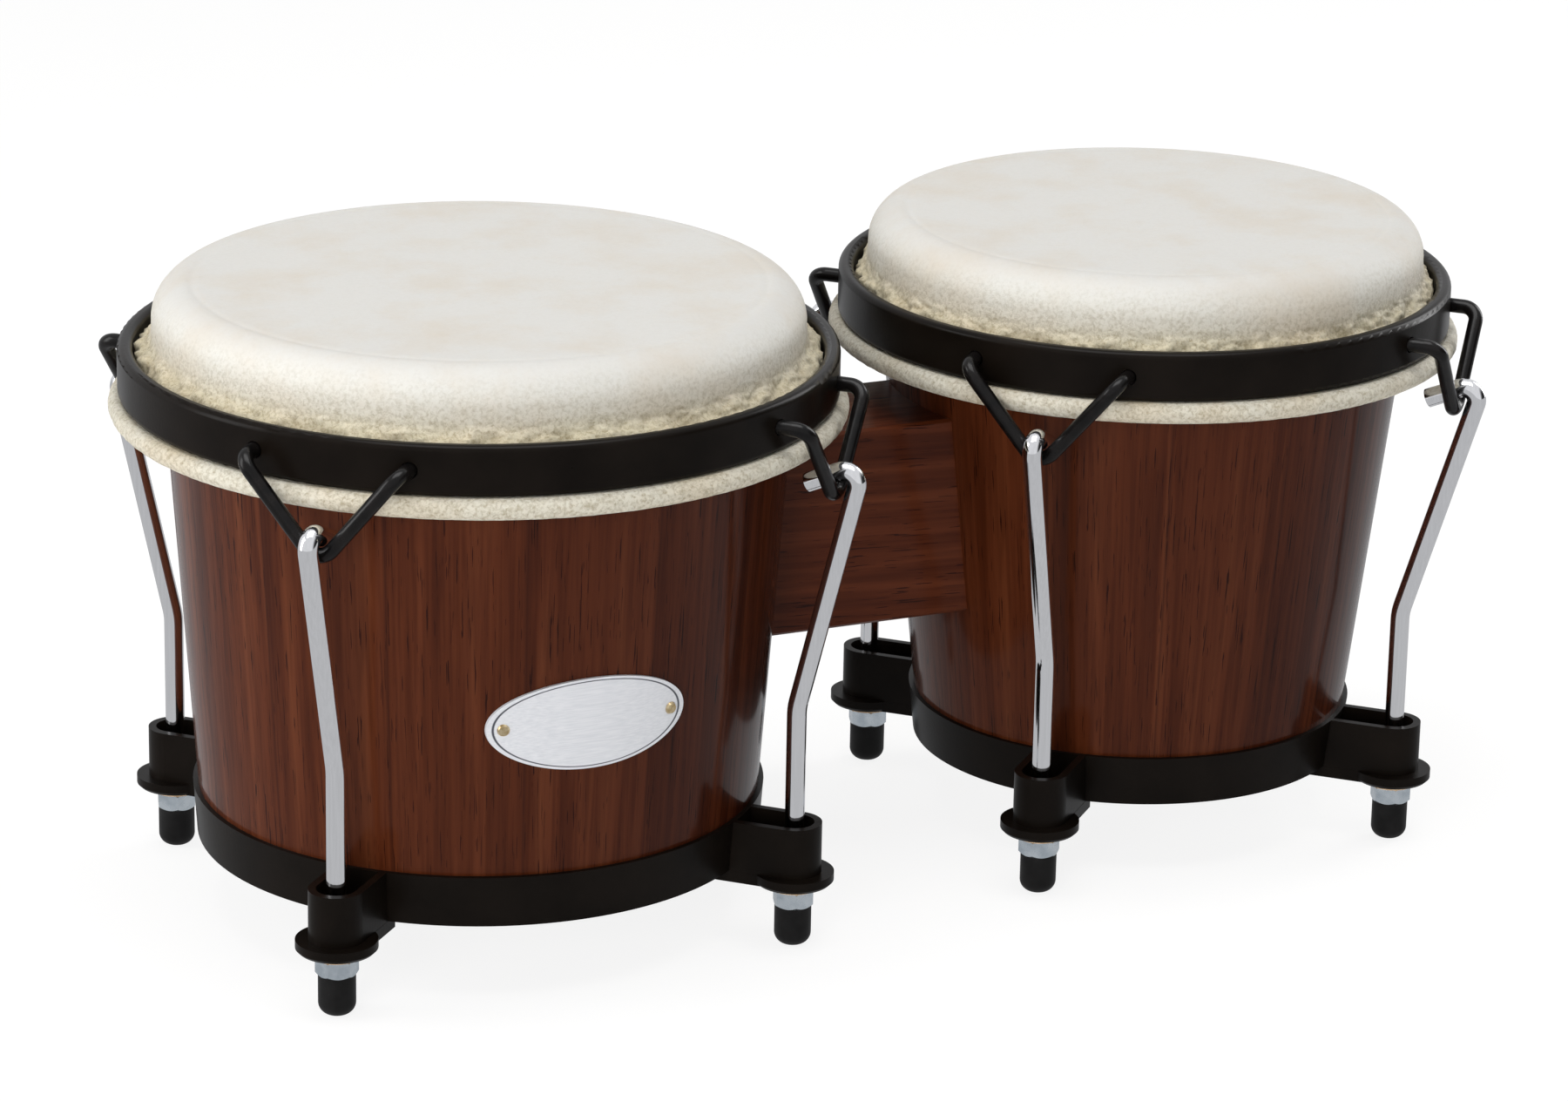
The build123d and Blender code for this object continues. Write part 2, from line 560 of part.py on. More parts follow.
# --- centre block -----------------------------------------------------------------
def make_block():
    """A wooden block hollowed at both ends to the shells' cones."""
    with BuildPart() as block:
        with BuildSketch(Plane(origin=(CENTRE_SHIFT, 0, BLOCK_BOTTOM))):
            Rectangle(AXIS_SPACING, BLOCK_DEPTH)
        extrude(amount=BLOCK_TOP - BLOCK_BOTTOM)
        chamfer(block.edges().filter_by(Axis.X), BLOCK_EDGE)
        for drum in (LARGE, SMALL):
            with BuildSketch(drum.axis_plane()):
                with BuildLine():
                    Polyline(
                        (0, SHELL_BOTTOM),
                        (drum.outside(SHELL_BOTTOM), SHELL_BOTTOM),
                        (drum.outside(EDGE_SIDE), EDGE_SIDE),
                        (0, EDGE_SIDE),
                        close=True,
                    )
                make_face()
            revolve(axis=Axis((drum.x, 0, 0), (0, 0, 1)), mode=Mode.SUBTRACT)
            for height in BOLT_HEIGHTS:
                reach = block_end(drum, height)
                with BuildSketch(bolt_plane(drum, height, reach)):
                    Circle(INSERT_RADIUS)
                extrude(amount=INSERT_SINK + INSERT_LENGTH, both=True, mode=Mode.SUBTRACT)
                with BuildSketch(bolt_plane(drum, height, reach)):
                    Circle(BOLT_HOLE_RADIUS)
                extrude(amount=BOLT_REACH + BOLT_TIP_ROOM - SHELL_WALL, mode=Mode.SUBTRACT)
    save(block.part, "centre_block")


def make_block_fittings():
    """Bolts from inside the shells, their washers, and inserts in the block."""
    with BuildPart() as bolts:
        for drum in (LARGE, SMALL):
            for height in BOLT_HEIGHTS:
                seat = spot_face(drum, height) - BOLT_WASHER_THICKNESS
                with BuildSketch(bolt_plane(drum, height, seat)):
                    Circle(BOLT_RADIUS)
                extrude(amount=BOLT_WASHER_THICKNESS + BOLT_REACH)
                with BuildSketch(bolt_plane(drum, height, seat)):
                    Circle(BOLT_HEAD_RADIUS)
                extrude(amount=-BOLT_HEAD_HEIGHT)
                with BuildSketch(bolt_plane(drum, height, seat - BOLT_HEAD_HEIGHT)):
                    RegularPolygon(BOLT_SOCKET_FLATS / sqrt(3), 6)
                extrude(amount=BOLT_SOCKET_DEPTH, mode=Mode.SUBTRACT)
    save(bolts.part, "block_bolts")

    with BuildPart() as washers:
        for drum in (LARGE, SMALL):
            for height in BOLT_HEIGHTS:
                with BuildSketch(bolt_plane(drum, height, spot_face(drum, height))):
                    Circle(BOLT_WASHER_RADIUS)
                    Circle(BOLT_HOLE_RADIUS, mode=Mode.SUBTRACT)
                extrude(amount=-BOLT_WASHER_THICKNESS)
    save(washers.part, "block_washers")

    with BuildPart() as inserts:
        for drum in (LARGE, SMALL):
            for height in BOLT_HEIGHTS:
                with BuildSketch(bolt_plane(drum, height, block_end(drum, height) + INSERT_SINK)):
                    Circle(INSERT_RADIUS)
                    Circle(BOLT_RADIUS, mode=Mode.SUBTRACT)
                extrude(amount=INSERT_LENGTH)
    save(inserts.part, "block_inserts")


# --- badge ------------------------------------------------------------------------
def make_badge():
    """An oval plate bent round the larger shell, and the two rivets that hold it."""
    with BuildPart() as badge:
        with BuildSketch(Plane(origin=(LARGE.x, 0, BADGE_CENTRE), x_dir=(1, 0, 0), z_dir=(0, -1, 0))):
            Ellipse(BADGE_WIDTH / 2, BADGE_HEIGHT / 2)
        extrude(amount=LARGE.head_radius + SHELL_WALL)
        with BuildSketch(LARGE.axis_plane()):
            with BuildLine():
                low = BADGE_CENTRE - BADGE_HEIGHT
                high = BADGE_CENTRE + BADGE_HEIGHT
                Polyline(
                    (LARGE.outside(low), low),
                    (LARGE.outside(low) + BADGE_THICKNESS, low),
                    (LARGE.outside(high) + BADGE_THICKNESS, high),
                    (LARGE.outside(high), high),
                    close=True,
                )
            make_face()
        revolve(axis=Axis((LARGE.x, 0, 0), (0, 0, 1)), mode=Mode.INTERSECT)
        for plane in rivet_planes():
            with BuildSketch(plane):
                Circle(RIVET_SHANK_RADIUS)
            extrude(amount=2 * BADGE_THICKNESS, both=True, mode=Mode.SUBTRACT)
    save(badge.part, "badge_plate")

    with BuildPart() as rivets:
        for plane in rivet_planes():
            seat = plane.offset(BADGE_THICKNESS + RIVET_SEAT_GAP)
            with BuildSketch(seat):
                Circle(RIVET_SHANK_RADIUS)
            extrude(amount=-RIVET_SHANK_LENGTH)
            with BuildSketch(seat):
                Circle(RIVET_HEAD_RADIUS)
            extrude(amount=RIVET_HEAD_HEIGHT, taper=30)
    save(rivets.part, "badge_rivets")


for drum in (LARGE, SMALL):
    make_shell(drum)
    make_head(drum)
    make_rim(drum)
    make_ring(drum)
    make_straps(drum)
    make_plates(drum)
    make_rod_washers(drum)
    for number, angle in enumerate(LUG_ANGLES, start=1):
        make_link(drum, number, angle)
        make_rod(drum, number, angle)
        make_nut(drum, number, angle)
        make_cap(drum, number, angle)
make_block()
make_block_fittings()
make_badge()
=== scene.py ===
import math
import bpy
import bmesh
import numpy as np
from mathutils import Matrix, Vector


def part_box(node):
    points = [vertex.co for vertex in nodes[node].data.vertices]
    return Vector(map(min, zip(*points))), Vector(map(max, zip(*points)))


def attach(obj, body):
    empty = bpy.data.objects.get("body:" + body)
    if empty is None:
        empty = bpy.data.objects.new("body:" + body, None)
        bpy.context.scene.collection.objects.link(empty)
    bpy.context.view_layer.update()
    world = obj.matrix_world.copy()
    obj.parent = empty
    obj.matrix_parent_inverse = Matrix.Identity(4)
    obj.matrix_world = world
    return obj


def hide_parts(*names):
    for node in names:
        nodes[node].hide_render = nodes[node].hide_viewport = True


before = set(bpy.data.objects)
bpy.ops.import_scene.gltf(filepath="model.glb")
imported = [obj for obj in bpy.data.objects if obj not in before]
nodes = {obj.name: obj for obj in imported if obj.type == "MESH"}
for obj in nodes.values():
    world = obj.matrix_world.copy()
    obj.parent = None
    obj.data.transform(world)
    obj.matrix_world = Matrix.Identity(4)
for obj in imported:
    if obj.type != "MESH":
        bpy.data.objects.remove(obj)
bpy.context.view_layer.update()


# --- The studio ---------------------------------------------------------------------
# A white sweep lit by two tall soft boxes at the sides and a large one overhead, which
# give the chrome and the lacquer their long pale bands. A fourth, front left, lights the
# drums without showing in their gloss.
VIEW_AZIMUTH = math.radians(-24.66)
VIEW_ELEVATION = math.radians(18.54)
VIEW_ROLL = math.radians(1.14)
VIEW_DISTANCE = 1.590
VIEW_TARGET = Vector((-0.0042, 0.0, 0.0881))
VIEW_LENS = 131.8                   # millimetres, and so is the sensor's width
VIEW_SENSOR = 36.0
VIEW_NEAR, VIEW_FAR = 0.05, 50.0
FLOOR_HALF = 6.0
FLOOR_DROP = 0.0002                 # below the rubber feet
FLOOR_PALE = "#F4F3F1"
WORLD_GREY = "#DADBDD"
FILL_LIGHT = 0.36                   # strength of the world's light on matt surfaces
ROOM_IN_GLOSS = 1.00                # how bright the room is in the chrome and the lacquer
FLOOR_IN_GLOSS = 0.70
DARK_SIDE = (0.74, 0.93)            # right of the view, in gloss, the room falls to black
DARK_LEFT = 0.03                    # what is left of the room's light there
WHITE_SHARE = 0.80                  # of the floor that the camera sees as pure white
WHITE_STRENGTH = 1.08               # of that share, so that with the lit paper it is white
LAMPS = (                           # place, size across and up, watts, seen in gloss
    ((-1.45, 0.35, 0.60), (0.60, 1.3), 9.5, True),
    ((1.35, 0.30, 0.60), (0.40, 1.2), 8.0, True),
    ((-0.10, -0.20, 1.60), (1.3, 0.9), 15.0, True),
    ((-1.20, -1.28, 0.50), (0.8, 0.7), 14.5, False),
)


def linear(code):
    """Turns an sRGB hex code into linear red, green, blue and alpha."""
    sRGB = np.array([int(code[i:i + 2], 16) for i in (1, 3, 5)]) / 255.0
    low, high = sRGB / 12.92, ((sRGB + 0.055) / 1.055) ** 2.4
    return tuple(float(c) for c in np.where(sRGB <= 0.04045, low, high)) + (1.0,)


def node(tree, kind, inputs=None, stops=None, **settings):
    """Adds a node: its settings, its sockets' values or links, and a ramp's stops.

    The first two stops are the ramp's own ends, and any others go between or beyond them.
    """
    made = tree.nodes.new("ShaderNode" + kind)
    for name, value in settings.items():
        setattr(made, name, value)
    for socket, value in (inputs or {}).items():
        if isinstance(value, bpy.types.NodeSocket):
            tree.links.new(value, made.inputs[socket])
        else:
            made.inputs[socket].default_value = value
    for i, (place, code) in enumerate(stops or ()):
        stop = made.color_ramp.elements[i] if i < 2 else made.color_ramp.elements.new(place)
        stop.position, stop.color = place, linear(code)
    return made


def surface_material(name):
    """Makes an empty material with its Principled surface, and returns all three."""
    made = bpy.data.materials.new(name)
    made.use_nodes = True
    tree = made.node_tree
    tree.nodes.clear()
    surface = node(tree, "BsdfPrincipled")
    node(tree, "OutputMaterial", {"Surface": surface.outputs["BSDF"]})
    return made, tree, surface


def sweep_floor():
    """A pale floor that keeps soft shadows but shows as white to the camera."""
    mesh = bpy.data.meshes.new("studio_floor")
    h, z = FLOOR_HALF, -FLOOR_DROP
    mesh.from_pydata([(-h, -h, z), (h, -h, z), (h, h, z), (-h, h, z)], [], [(0, 1, 2, 3)])
    floor = bpy.data.objects.new("studio_floor", mesh)
    bpy.context.scene.collection.objects.link(floor)
    made = bpy.data.materials.new("studio_paper")
    made.use_nodes = True
    tree = made.node_tree
    tree.nodes.clear()
    paper = node(tree, "BsdfDiffuse", {"Color": linear(FLOOR_PALE)})
    white = node(tree, "Emission", {"Color": (1.0, 1.0, 1.0, 1.0), "Strength": WHITE_STRENGTH})
    dim = node(tree, "Emission", {"Color": linear(WORLD_GREY), "Strength": FLOOR_IN_GLOSS})
    rays = node(tree, "LightPath")
    seen = node(tree, "Math", {0: rays.outputs["Is Camera Ray"], 1: WHITE_SHARE},
                operation="MULTIPLY")
    plain = node(tree, "MixShader", {
        0: rays.outputs["Is Glossy Ray"], 1: paper.outputs[0], 2: dim.outputs[0]})
    shown = node(tree, "MixShader", {
        0: seen.outputs[0], 1: plain.outputs[0], 2: white.outputs[0]})
    node(tree, "OutputMaterial", {"Surface": shown.outputs[0]})
    mesh.materials.append(made)


def studio_world():
    """White behind the object, a dimmer grey for the fill light, and a grey for its gloss.

    In gloss the grey falls to black towards the right, by the direction that a ray takes,
    as beside a black flag: that puts the dark edge on the chrome.
    """
    world = bpy.data.worlds.new("studio_world")
    world.use_nodes = True
    tree = world.node_tree
    tree.nodes.clear()
    rays = node(tree, "LightPath")
    fill = node(tree, "Background", {"Color": linear(WORLD_GREY), "Strength": FILL_LIGHT})
    where = node(tree, "TexCoord")
    right = Vector((math.cos(VIEW_AZIMUTH), math.sin(VIEW_AZIMUTH), 0.0))
    aside = node(tree, "VectorMath", {0: where.outputs["Generated"], 1: right},
                 operation="DOT_PRODUCT")
    level = node(tree, "MapRange", {
        "Value": aside.outputs["Value"], "From Min": DARK_SIDE[0], "From Max": DARK_SIDE[1],
        "To Min": ROOM_IN_GLOSS, "To Max": DARK_LEFT})
    dim = node(tree, "Background", {"Color": linear(WORLD_GREY), "Strength": level.outputs[0]})
    white = node(tree, "Background", {"Color": (1.0, 1.0, 1.0, 1.0), "Strength": 1.0})
    room = node(tree, "MixShader", {
        0: rays.outputs["Is Glossy Ray"], 1: fill.outputs[0], 2: dim.outputs[0]})
    shown = node(tree, "MixShader", {
        0: rays.outputs["Is Camera Ray"], 1: room.outputs[0], 2: white.outputs[0]})
    node(tree, "OutputWorld", {"Surface": shown.outputs[0]})
    bpy.context.scene.world = world


def soft_box(number, place, size, power, in_gloss):
    """One soft box: a rectangular lamp turned to face the middle of the drums."""
    lamp = bpy.data.lights.new(f"soft_box_{number}", "AREA")
    lamp.shape = "RECTANGLE"
    lamp.size, lamp.size_y = size
    lamp.energy = power
    holder = bpy.data.objects.new(f"soft_box_{number}", lamp)
    holder.location = place
    holder.visible_glossy = in_gloss
    holder.rotation_euler = (VIEW_TARGET - Vector(place)).to_track_quat("-Z", "Y").to_euler()
    bpy.context.scene.collection.objects.link(holder)


def studio_camera():
    """The camera: front left of the drums, a little above, with a long lens."""
    a, e = VIEW_AZIMUTH, VIEW_ELEVATION
    back = Vector((math.sin(a) * math.cos(e), -math.cos(a) * math.cos(e), math.sin(e)))
    level = Vector((math.cos(a), math.sin(a), 0.0))
    upright = back.cross(level)
    right = level * math.cos(VIEW_ROLL) + upright * math.sin(VIEW_ROLL)
    up = upright * math.cos(VIEW_ROLL) - level * math.sin(VIEW_ROLL)
    lens = bpy.data.cameras.new("studio_camera")
    lens.lens, lens.sensor_width, lens.sensor_fit = VIEW_LENS, VIEW_SENSOR, "HORIZONTAL"
    lens.clip_start, lens.clip_end = VIEW_NEAR, VIEW_FAR
    camera = bpy.data.objects.new("studio_camera", lens)
    turned = Matrix((right, up, back)).transposed().to_4x4()
    camera.matrix_world = Matrix.Translation(VIEW_TARGET + back * VIEW_DISTANCE) @ turned
    bpy.context.scene.collection.objects.link(camera)
    bpy.context.scene.camera = camera


sweep_floor()
studio_world()
for number, lamp in enumerate(LAMPS, start=1):
    soft_box(number, *lamp)
studio_camera()
bpy.context.scene.view_settings.view_transform = "Standard"


# --- Shells ---------------------------------------------------------------------------
# Each shell is coopered from upright staves of oak, turned, stained a deep mahogany and
# sprayed with a gloss lacquer. The grain runs up the staves and their joints just show.
STAVES = {"large": 14, "small": 13}
FIGURE_WIDTH = 0.0070               # broad streaks of the stain
STREAK_WIDTH = 0.0016               # growth rings cut through by the lathe
PORE_WIDTH = 0.00055                # open pores, drawn a little coarse so that they show
GRAIN_STRETCH = 0.035               # how much longer than wide a streak is, turned over
STAVE_JOINT = 0.0007                # dark line between two staves
STAVE_SLIDE = 3.0                   # metres at most from one stave's grain to the next one's
STAVE_TINTS = ("#C9BFBC", "#FFFFFF")
SEAM_DARK = 0.55
WOOD_DARK = "#4A2211"
WOOD_MID = "#562914"
WOOD_RED = "#5E2F19"
WOOD_LIGHT = "#6A3920"
PORE_BROWN = "#2C1209"
RING_TINT = "#BCAFA9"
RING_SHARE = 0.55
PORE_SHARE = 0.36                   # noise below this is an open pore
WOOD_ROUGH = (0.52, 0.36)           # at a growth ring, and between two
PORE_RELIEF = (0.10, 0.0002)        # strength, and depth in metres
LACQUER_WEIGHT = 0.9
LACQUER_ROUGH = 0.12
LACQUER_IOR = 1.19                  # kept low, or the boxes would veil the dark stain
WOOD_SHEEN = 0.05                   # specular level of the wood under its lacquer


def drum_axis(drum):
    """Where a drum's axis stands along X, and its shell's outer radius, from its box."""
    low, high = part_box(f"{drum}_shell")
    return (low.x + high.x) / 2, high.x - (low.x + high.x) / 2


def wood_surface(tree, surface, across, along, deep, tone, seam):
    """Stained grain from three distances in metres, and how dark the board and seam are.

    Noise is squeezed along the grain, so that its blobs become streaks: broad ones turn
    the stain from dark to red, fine ones cut it, and the finest are pores and bumps.
    """
    squeezed = node(tree, "Math", {0: along, 1: GRAIN_STRETCH}, operation="MULTIPLY")
    place = node(tree, "CombineXYZ", {"X": across, "Y": squeezed.outputs[0], "Z": deep})
    layers = []
    for width, detail in ((FIGURE_WIDTH, 2.0), (STREAK_WIDTH, 3.0), (PORE_WIDTH, 2.0)):
        layers.append(node(tree, "TexNoise", {
            "Vector": place.outputs[0], "Scale": 1.0 / width, "Detail": detail,
            "Roughness": 0.55, "Distortion": 0.35}))
    figure, streak, pore = (layer.outputs["Fac"] for layer in layers)
    stain = node(tree, "ValToRGB", {"Fac": figure}, stops=(
        (0.30, WOOD_DARK), (0.72, WOOD_LIGHT), (0.46, WOOD_MID), (0.58, WOOD_RED)))
    rings = node(tree, "ValToRGB", {"Fac": streak}, stops=(
        (0.36, RING_TINT), (0.60, "#FFFFFF")))
    ringed = node(tree, "Mix", {0: RING_SHARE, 6: stain.outputs[0], 7: rings.outputs[0]},
                  data_type="RGBA", blend_type="MULTIPLY")
    open_pore = node(tree, "Math", {0: pore, 1: PORE_SHARE}, operation="LESS_THAN")
    pored = node(tree, "Mix", {
        0: open_pore.outputs[0], 6: ringed.outputs[2], 7: linear(PORE_BROWN)}, data_type="RGBA")
    toned = node(tree, "Mix", {0: 1.0, 6: pored.outputs[2], 7: tone},
                 data_type="RGBA", blend_type="MULTIPLY")
    joined = node(tree, "Mix", {0: seam, 6: toned.outputs[2], 7: linear(PORE_BROWN)},
                  data_type="RGBA")
    tree.links.new(joined.outputs[2], surface.inputs["Base Color"])
    rough = node(tree, "MapRange", {
        "Value": streak, "To Min": WOOD_ROUGH[0], "To Max": WOOD_ROUGH[1]})
    tree.links.new(rough.outputs[0], surface.inputs["Roughness"])
    relief = node(tree, "Bump", {
        "Height": pore, "Strength": PORE_RELIEF[0], "Distance": PORE_RELIEF[1]})
    tree.links.new(relief.outputs[0], surface.inputs["Normal"])
    surface.inputs["Coat Weight"].default_value = LACQUER_WEIGHT
    surface.inputs["Coat Roughness"].default_value = LACQUER_ROUGH
    surface.inputs["Coat IOR"].default_value = LACQUER_IOR
    surface.inputs["Specular IOR Level"].default_value = WOOD_SHEEN


def stave_wood(drum):
    """Lacquered staves: the grain follows the height and the arc round the drum's axis."""
    centre, radius = drum_axis(drum)
    made, tree, surface = surface_material(f"lacquered_oak_staves_{drum}")
    where = node(tree, "TexCoord")
    local = node(tree, "Mapping", {
        "Vector": where.outputs["Object"], "Location": (-centre, 0, 0)})
    split = node(tree, "SeparateXYZ", {"Vector": local.outputs[0]})
    angle = node(tree, "Math", {0: split.outputs["Y"], 1: split.outputs["X"]},
                 operation="ARCTAN2")
    turns = node(tree, "Math", {0: angle.outputs[0], 1: STAVES[drum] / math.tau},
                 operation="MULTIPLY")
    stave = node(tree, "Math", {0: turns.outputs[0]}, operation="FLOOR")
    inside = node(tree, "Math", {0: turns.outputs[0], 1: stave.outputs[0]},
                  operation="SUBTRACT")
    board = node(tree, "TexWhiteNoise", {"W": stave.outputs[0]}, noise_dimensions="1D")
    tone = node(tree, "ValToRGB", {"Fac": board.outputs["Value"]}, stops=(
        (0.0, STAVE_TINTS[0]), (1.0, STAVE_TINTS[1])))
    arc = node(tree, "Math", {0: angle.outputs[0], 1: radius}, operation="MULTIPLY")
    shift = node(tree, "Math", {0: board.outputs["Value"], 1: STAVE_SLIDE, 2: split.outputs["Z"]},
                 operation="MULTIPLY_ADD")
    middle = node(tree, "Math", {0: inside.outputs[0], 1: 0.5}, operation="SUBTRACT")
    away = node(tree, "Math", {0: middle.outputs[0]}, operation="ABSOLUTE")
    width = math.tau * radius / STAVES[drum]
    edge = node(tree, "MapRange", {
        "Value": away.outputs[0], "From Min": 0.5 - STAVE_JOINT / width, "From Max": 0.5,
        "To Min": 0.0, "To Max": SEAM_DARK})
    wood_surface(tree, surface, arc.outputs[0], shift.outputs[0], stave.outputs[0],
                 tone.outputs[0], edge.outputs[0])
    return made


def dress(name, material):
    """Gives a CAD node its finish."""
    piece = nodes[name]
    piece.data.materials.clear()
    piece.data.materials.append(material)


for drum in ("large", "small"):
    dress(f"{drum}_shell", stave_wood(drum))


# --- Bottom rings and lugs --------------------------------------------------------------
# Steel bands with their straps and plates, welded up and powder coated black. The coat
# has a fine orange peel and a soft, slightly brown gloss.
POWDER_BLACK = "#0E0A07"
POWDER_WORN = "#17120E"
PEEL_WIDTH = 0.0011
PEEL_RELIEF = (0.12, 0.00015)       # strength, and depth in metres
CLOUDS_PER_METRE = 60.0
POWDER_GLOSS = (0.30, 0.20, 1.14)   # weight, roughness and IOR of the gloss on top
POWDER_SHEEN = 0.07                 # specular level of the coat's body
BAND_ROUGH = 0.40


def powder_coat(name, roughness):
    """Black powder coat: faint cloudiness in colour and gloss, and orange-peel relief."""
    made, tree, surface = surface_material(name)
    where = node(tree, "TexCoord")
    cloud = node(tree, "TexNoise", {
        "Vector": where.outputs["Object"], "Scale": CLOUDS_PER_METRE, "Detail": 3.0})
    peel = node(tree, "TexNoise", {
        "Vector": where.outputs["Object"], "Scale": 1.0 / PEEL_WIDTH, "Detail": 1.0})
    colour = node(tree, "ValToRGB", {"Fac": cloud.outputs["Fac"]}, stops=(
        (0.30, POWDER_BLACK), (0.75, POWDER_WORN)))
    gloss = node(tree, "MapRange", {
        "Value": cloud.outputs["Fac"], "To Min": roughness - 0.06, "To Max": roughness + 0.08})
    relief = node(tree, "Bump", {
        "Height": peel.outputs["Fac"], "Strength": PEEL_RELIEF[0], "Distance": PEEL_RELIEF[1]})
    tree.links.new(colour.outputs[0], surface.inputs["Base Color"])
    tree.links.new(gloss.outputs[0], surface.inputs["Roughness"])
    tree.links.new(relief.outputs[0], surface.inputs["Normal"])
    for socket, value in zip(("Weight", "Roughness", "IOR"), POWDER_GLOSS):
        surface.inputs[f"Coat {socket}"].default_value = value
    surface.inputs["Specular IOR Level"].default_value = POWDER_SHEEN
    return made


ring_coat = powder_coat("powder_coated_steel_band", BAND_ROUGH)
for drum in ("large", "small"):
    for part in ("bottom_ring", "lug_straps", "lug_plates"):
        dress(f"{drum}_{part}", ring_coat)


# --- Centre block -----------------------------------------------------------------------
# One piece of the same oak, stained and lacquered, with its grain level between the
# shells. Four zinc bolts hold it from inside the shells, in threaded brass inserts.
BLOCK_SLANT = 0.05                  # how far the grain climbs on its way along the block
BLOCK_TINT = "#F2E9E6"
ZINC_LIGHT = "#E0E8EE"
ZINC_DARK = "#C4CED6"
ZINC_ROUGH = 0.27
SPANGLE_WIDTH = 0.0045
BRASS_LIGHT = "#E6D3AC"
BRASS_DARK = "#C9AD7C"
BRASS_ROUGH = 0.30
BRASS_GRAIN = 0.0012
PLATED_RELIEF = (0.04, 0.0001)      # strength, and depth in metres


def block_wood():
    """Level grain: the streaks run along X and are cut across in Y and Z."""
    made, tree, surface = surface_material("lacquered_oak_block")
    where = node(tree, "TexCoord")
    split = node(tree, "SeparateXYZ", {"Vector": where.outputs["Object"]})
    slant = node(tree, "Math", {
        0: split.outputs["X"], 1: BLOCK_SLANT, 2: split.outputs["Z"]}, operation="MULTIPLY_ADD")
    wood_surface(tree, surface, slant.outputs[0], split.outputs["X"], split.outputs["Y"],
                 linear(BLOCK_TINT), 0.0)
    return made


def plated(name, light, dark, roughness, grain, metallic=1.0):
    """Plated or turned metal: patches of tone and gloss, and a faint tumbled relief."""
    made, tree, surface = surface_material(name)
    where = node(tree, "TexCoord")
    patch = node(tree, "TexNoise", {
        "Vector": where.outputs["Object"], "Scale": 1.0 / grain, "Detail": 3.0})
    colour = node(tree, "ValToRGB", {"Fac": patch.outputs["Fac"]}, stops=(
        (0.35, dark), (0.65, light)))
    gloss = node(tree, "MapRange", {
        "Value": patch.outputs["Fac"], "To Min": roughness * 0.9, "To Max": roughness * 1.1})
    relief = node(tree, "Bump", {
        "Height": patch.outputs["Fac"], "Strength": PLATED_RELIEF[0],
        "Distance": PLATED_RELIEF[1]})
    tree.links.new(colour.outputs[0], surface.inputs["Base Color"])
    tree.links.new(gloss.outputs[0], surface.inputs["Roughness"])
    tree.links.new(relief.outputs[0], surface.inputs["Normal"])
    surface.inputs["Metallic"].default_value = metallic
    return made


zinc = plated("zinc_plated_steel", ZINC_LIGHT, ZINC_DARK, ZINC_ROUGH, SPANGLE_WIDTH)
brass = plated("turned_brass", BRASS_LIGHT, BRASS_DARK, BRASS_ROUGH, BRASS_GRAIN)
dress("centre_block", block_wood())
dress("block_bolts", zinc)
dress("block_washers", zinc)
dress("block_inserts", brass)


# --- Heads ------------------------------------------------------------------------------
# Rawhide soaked and pulled over the bearing edge: a flat, matt top, a rounded shoulder,
# and below it the fibrous flesh side, rucked inside the rim and rolled round its hoop.
SKIN_TOP = "#D3D1CC"
SKIN_MOTTLE = "#FAF3EA"
SKIN_EDGE = "#D5D3CC"
SKIN_SIDE = "#D3CEC1"
SKIN_FIBRE = "#CCC3A9"
SKIN_ROLL = "#D6D1C2"
SKIN_DEEP = "#A39573"
FLECK_WIDTH = 0.0011
CLOUD_SHIFT = 0.006                 # how far the tones wander up and down the side
SKIN_CLOUDS = 34.0                  # clouds of tone per metre
SKIN_ROUGH = 0.62
SKIN_DEPTH = (0.10, 0.0015, (1.0, 0.8, 0.6))    # light within: weight, depth, red to blue
FIBRE_RELIEF = 0.0006
FLECKS = (0.05, 0.62)               # how much the fibres darken, on the top and at the side
ROUND_STEPS = 620
SKIN_THICK = 0.0012
ROOM = 0.0003                       # kept from the shell and inside the CAD skin's box
CLOSE_ROOM = 0.0001                 # between the skin's roll and the rim that presses it
PRESSED = 0.0002                    # how far the rucks may press into the rim's wall
MERGE_DISTANCE = 1e-7
SHOULDER = 0.0101                   # outer radius of the shoulder
TOP_BAND = 0.006                    # of the flat top beside the shoulder, in finer steps
CREASE_DEPTH = 0.00022              # of the ring where the flat top meets the shoulder
CREASE_IN = 0.0004                  # how far inside the shoulder's start it lies
CREASE_WIDTH = 0.0011
RIM_WALL = 0.0042
FLARE_LEAN = 0.0002                 # that the side leans out by where the flare starts
FLARE_START = 0.0030                # above the rim's top edge, where the skin turns outwards
FLARE_END = 0.0024                  # below that edge, where it meets the rim
FLARE_SHORT = 0.0010                # that it stays from the rim's inside there
FRAY_START = 0.006                  # below the crest, where the surface begins to fray
FRAY_OVER = 0.012                   # height over which the fraying grows to its full size
FRAY = (0.00006, 0.00010)           # fine and slow waves of the frayed side
RUCK_OVER = 0.0040                  # height over which the rucks inside the rim grow
RUCK_OUT = (0.00035, 0.00015)       # coarse and fine rucks, outwards
RUCK_UP = (0.00040, 0.00012)        # and upwards
NEXT_POINT = (0.0004, 0.0002, 0.0005)    # from an arc's last point to the next stretch


